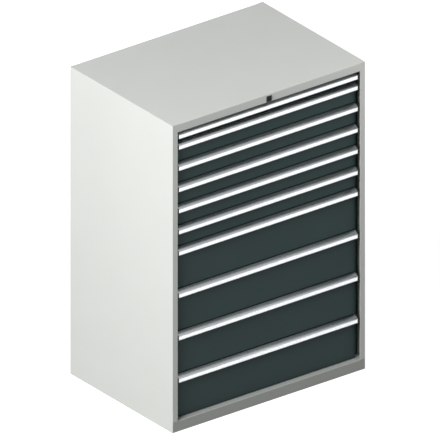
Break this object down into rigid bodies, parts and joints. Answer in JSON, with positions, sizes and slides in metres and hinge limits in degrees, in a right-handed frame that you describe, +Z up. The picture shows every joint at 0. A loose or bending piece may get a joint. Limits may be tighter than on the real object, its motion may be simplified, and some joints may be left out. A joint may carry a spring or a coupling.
{
  "type": "drawer cabinet",
  "caption": "Tall steel drawer cabinet with full-extension drawers, full-width handle strips and a central lock.",
  "frame": {"origin": "centre of the underside of the overall box, on the floor", "axes": "+X to the right when facing the drawer fronts, -Y is the front, +Z up"},
  "size_m": [1.023, 0.7214, 1.45],
  "materials": {
    "housing_grey": "light grey textured powder coat",
    "plinth_grey": "grey textured powder coat",
    "front_anthracite": "anthracite grey textured powder coat",
    "drawer_grey": "light grey powder coat",
    "handle_aluminium": "grey satin anodised extrusion",
    "zinc_steel": "bright zinc plated",
    "black_plastic": "moulded, fine grain",
    "label_card": "white label strip",
    "clear_cover": "clear extruded strip over the label",
    "black_rubber": "moulded",
    "lock_chrome": "black nickel"
  },
  "bodies": {
    "housing": {"left_side_panel": "housing_grey", "right_side_panel": "housing_grey", "rear_panel": "housing_grey", "top_panel": "housing_grey", "floor_panel": "housing_grey", "plinth": "plinth_grey", "front_crossmember": "housing_grey", "top_stiffener": "housing_grey", "front_uprights": "front_anthracite", "rear_uprights": "housing_grey", "cabinet_rails_left": "zinc_steel", "cabinet_rails_right": "zinc_steel", "rail_stops": "black_rubber", "lock_housing": "black_plastic", "lock_nut": "zinc_steel", "lock_guides": "black_plastic"},
    "lock_plug": {"lock_plug": "lock_chrome", "lock_cam": "zinc_steel"},
    "lock_link": {"lock_link": "zinc_steel"},
    "locking_bar": {"locking_bar": "front_anthracite"},
    "drawer_01": {"drawer_01_tray": "drawer_grey", "drawer_01_front": "front_anthracite", "drawer_01_handle": "handle_aluminium"},
    "drawer_01_carriages": {"drawer_01_carriages": "zinc_steel"},
    "drawer_02": {"drawer_02_tray": "drawer_grey", "drawer_02_front": "front_anthracite", "drawer_02_handle": "handle_aluminium"},
    "drawer_02_carriages": {"drawer_02_carriages": "zinc_steel"},
    "drawer_03": {"drawer_03_tray": "drawer_grey", "drawer_03_front": "front_anthracite", "drawer_03_handle": "handle_aluminium"},
    "drawer_03_carriages": {"drawer_03_carriages": "zinc_steel"},
    "drawer_04": {"drawer_04_tray": "drawer_grey", "drawer_04_front": "front_anthracite", "drawer_04_handle": "handle_aluminium"},
    "drawer_04_carriages": {"drawer_04_carriages": "zinc_steel"},
    "drawer_05": {"drawer_05_tray": "drawer_grey", "drawer_05_front": "front_anthracite", "drawer_05_handle": "handle_aluminium"},
    "drawer_05_carriages": {"drawer_05_carriages": "zinc_steel"},
    "drawer_06": {"drawer_06_tray": "drawer_grey", "drawer_06_front": "front_anthracite", "drawer_06_handle": "handle_aluminium"},
    "drawer_06_carriages": {"drawer_06_carriages": "zinc_steel"},
    "drawer_07": {"drawer_07_tray": "drawer_grey", "drawer_07_front": "front_anthracite", "drawer_07_handle": "handle_aluminium"},
    "drawer_07_carriages": {"drawer_07_carriages": "zinc_steel"},
    "drawer_08": {"drawer_08_tray": "drawer_grey", "drawer_08_front": "front_anthracite", "drawer_08_handle": "handle_aluminium"},
    "drawer_08_carriages": {"drawer_08_carriages": "zinc_steel"},
    "drawer_09": {"drawer_09_tray": "drawer_grey", "drawer_09_front": "front_anthracite", "drawer_09_handle": "handle_aluminium"},
    "drawer_09_carriages": {"drawer_09_carriages": "zinc_steel"},
    "drawer_10": {"drawer_10_tray": "drawer_grey", "drawer_10_front": "front_anthracite", "drawer_10_handle": "handle_aluminium"},
    "drawer_10_carriages": {"drawer_10_carriages": "zinc_steel"}
  },
  "joints": [
    {"name": "lock_turn", "type": "hinge", "parent": "housing", "child": "lock_plug", "pos_m": [0, -0.35725, 1.4285], "axis": [0, 1, 0], "range_deg": [0, 90]},
    {"name": "lock_link_slide", "type": "slide", "parent": "housing", "child": "lock_link", "axis": [1, 0, 0], "range_m": [0, 0.014]},
    {"name": "locking_bar_slide", "type": "slide", "parent": "housing", "child": "locking_bar", "axis": [0, 0, 1], "range_m": [0, 0.007]},
    {"name": "drawer_01_slide", "type": "slide", "parent": "housing", "child": "drawer_01", "axis": [0, -1, 0], "range_m": [0, 0.64]},
    {"name": "drawer_01_carriages_slide", "type": "slide", "parent": "housing", "child": "drawer_01_carriages", "axis": [0, -1, 0], "range_m": [0, 0.32]},
    {"name": "drawer_02_slide", "type": "slide", "parent": "housing", "child": "drawer_02", "axis": [0, -1, 0], "range_m": [0, 0.64]},
    {"name": "drawer_02_carriages_slide", "type": "slide", "parent": "housing", "child": "drawer_02_carriages", "axis": [0, -1, 0], "range_m": [0, 0.32]},
    {"name": "drawer_03_slide", "type": "slide", "parent": "housing", "child": "drawer_03", "axis": [0, -1, 0], "range_m": [0, 0.64]},
    {"name": "drawer_03_carriages_slide", "type": "slide", "parent": "housing", "child": "drawer_03_carriages", "axis": [0, -1, 0], "range_m": [0, 0.32]},
    {"name": "drawer_04_slide", "type": "slide", "parent": "housing", "child": "drawer_04", "axis": [0, -1, 0], "range_m": [0, 0.64]},
    {"name": "drawer_04_carriages_slide", "type": "slide", "parent": "housing", "child": "drawer_04_carriages", "axis": [0, -1, 0], "range_m": [0, 0.32]},
    {"name": "drawer_05_slide", "type": "slide", "parent": "housing", "child": "drawer_05", "axis": [0, -1, 0], "range_m": [0, 0.64]},
    {"name": "drawer_05_carriages_slide", "type": "slide", "parent": "housing", "child": "drawer_05_carriages", "axis": [0, -1, 0], "range_m": [0, 0.32]},
    {"name": "drawer_06_slide", "type": "slide", "parent": "housing", "child": "drawer_06", "axis": [0, -1, 0], "range_m": [0, 0.64]},
    {"name": "drawer_06_carriages_slide", "type": "slide", "parent": "housing", "child": "drawer_06_carriages", "axis": [0, -1, 0], "range_m": [0, 0.32]},
    {"name": "drawer_07_slide", "type": "slide", "parent": "housing", "child": "drawer_07", "axis": [0, -1, 0], "range_m": [0, 0.64]},
    {"name": "drawer_07_carriages_slide", "type": "slide", "parent": "housing", "child": "drawer_07_carriages", "axis": [0, -1, 0], "range_m": [0, 0.32]},
    {"name": "drawer_08_slide", "type": "slide", "parent": "housing", "child": "drawer_08", "axis": [0, -1, 0], "range_m": [0, 0.64]},
    {"name": "drawer_08_carriages_slide", "type": "slide", "parent": "housing", "child": "drawer_08_carriages", "axis": [0, -1, 0], "range_m": [0, 0.32]},
    {"name": "drawer_09_slide", "type": "slide", "parent": "housing", "child": "drawer_09", "axis": [0, -1, 0], "range_m": [0, 0.64]},
    {"name": "drawer_09_carriages_slide", "type": "slide", "parent": "housing", "child": "drawer_09_carriages", "axis": [0, -1, 0], "range_m": [0, 0.32]},
    {"name": "drawer_10_slide", "type": "slide", "parent": "housing", "child": "drawer_10", "axis": [0, -1, 0], "range_m": [0, 0.64]},
    {"name": "drawer_10_carriages_slide", "type": "slide", "parent": "housing", "child": "drawer_10_carriages", "axis": [0, -1, 0], "range_m": [0, 0.32]}
  ],
  "couplings": [
    {"joint": "lock_link_slide", "follows": "locking_bar_slide", "ratio": 2},
    {"joint": "lock_turn", "follows": "locking_bar_slide", "rad_per_m": 224.4},
    {"joint": "drawer_01_carriages_slide", "follows": "drawer_01_slide", "ratio": 0.5},
    {"joint": "drawer_02_carriages_slide", "follows": "drawer_02_slide", "ratio": 0.5},
    {"joint": "drawer_03_carriages_slide", "follows": "drawer_03_slide", "ratio": 0.5},
    {"joint": "drawer_04_carriages_slide", "follows": "drawer_04_slide", "ratio": 0.5},
    {"joint": "drawer_05_carriages_slide", "follows": "drawer_05_slide", "ratio": 0.5},
    {"joint": "drawer_06_carriages_slide", "follows": "drawer_06_slide", "ratio": 0.5},
    {"joint": "drawer_07_carriages_slide", "follows": "drawer_07_slide", "ratio": 0.5},
    {"joint": "drawer_08_carriages_slide", "follows": "drawer_08_slide", "ratio": 0.5},
    {"joint": "drawer_09_carriages_slide", "follows": "drawer_09_slide", "ratio": 0.5},
    {"joint": "drawer_10_carriages_slide", "follows": "drawer_10_slide", "ratio": 0.5}
  ]
}
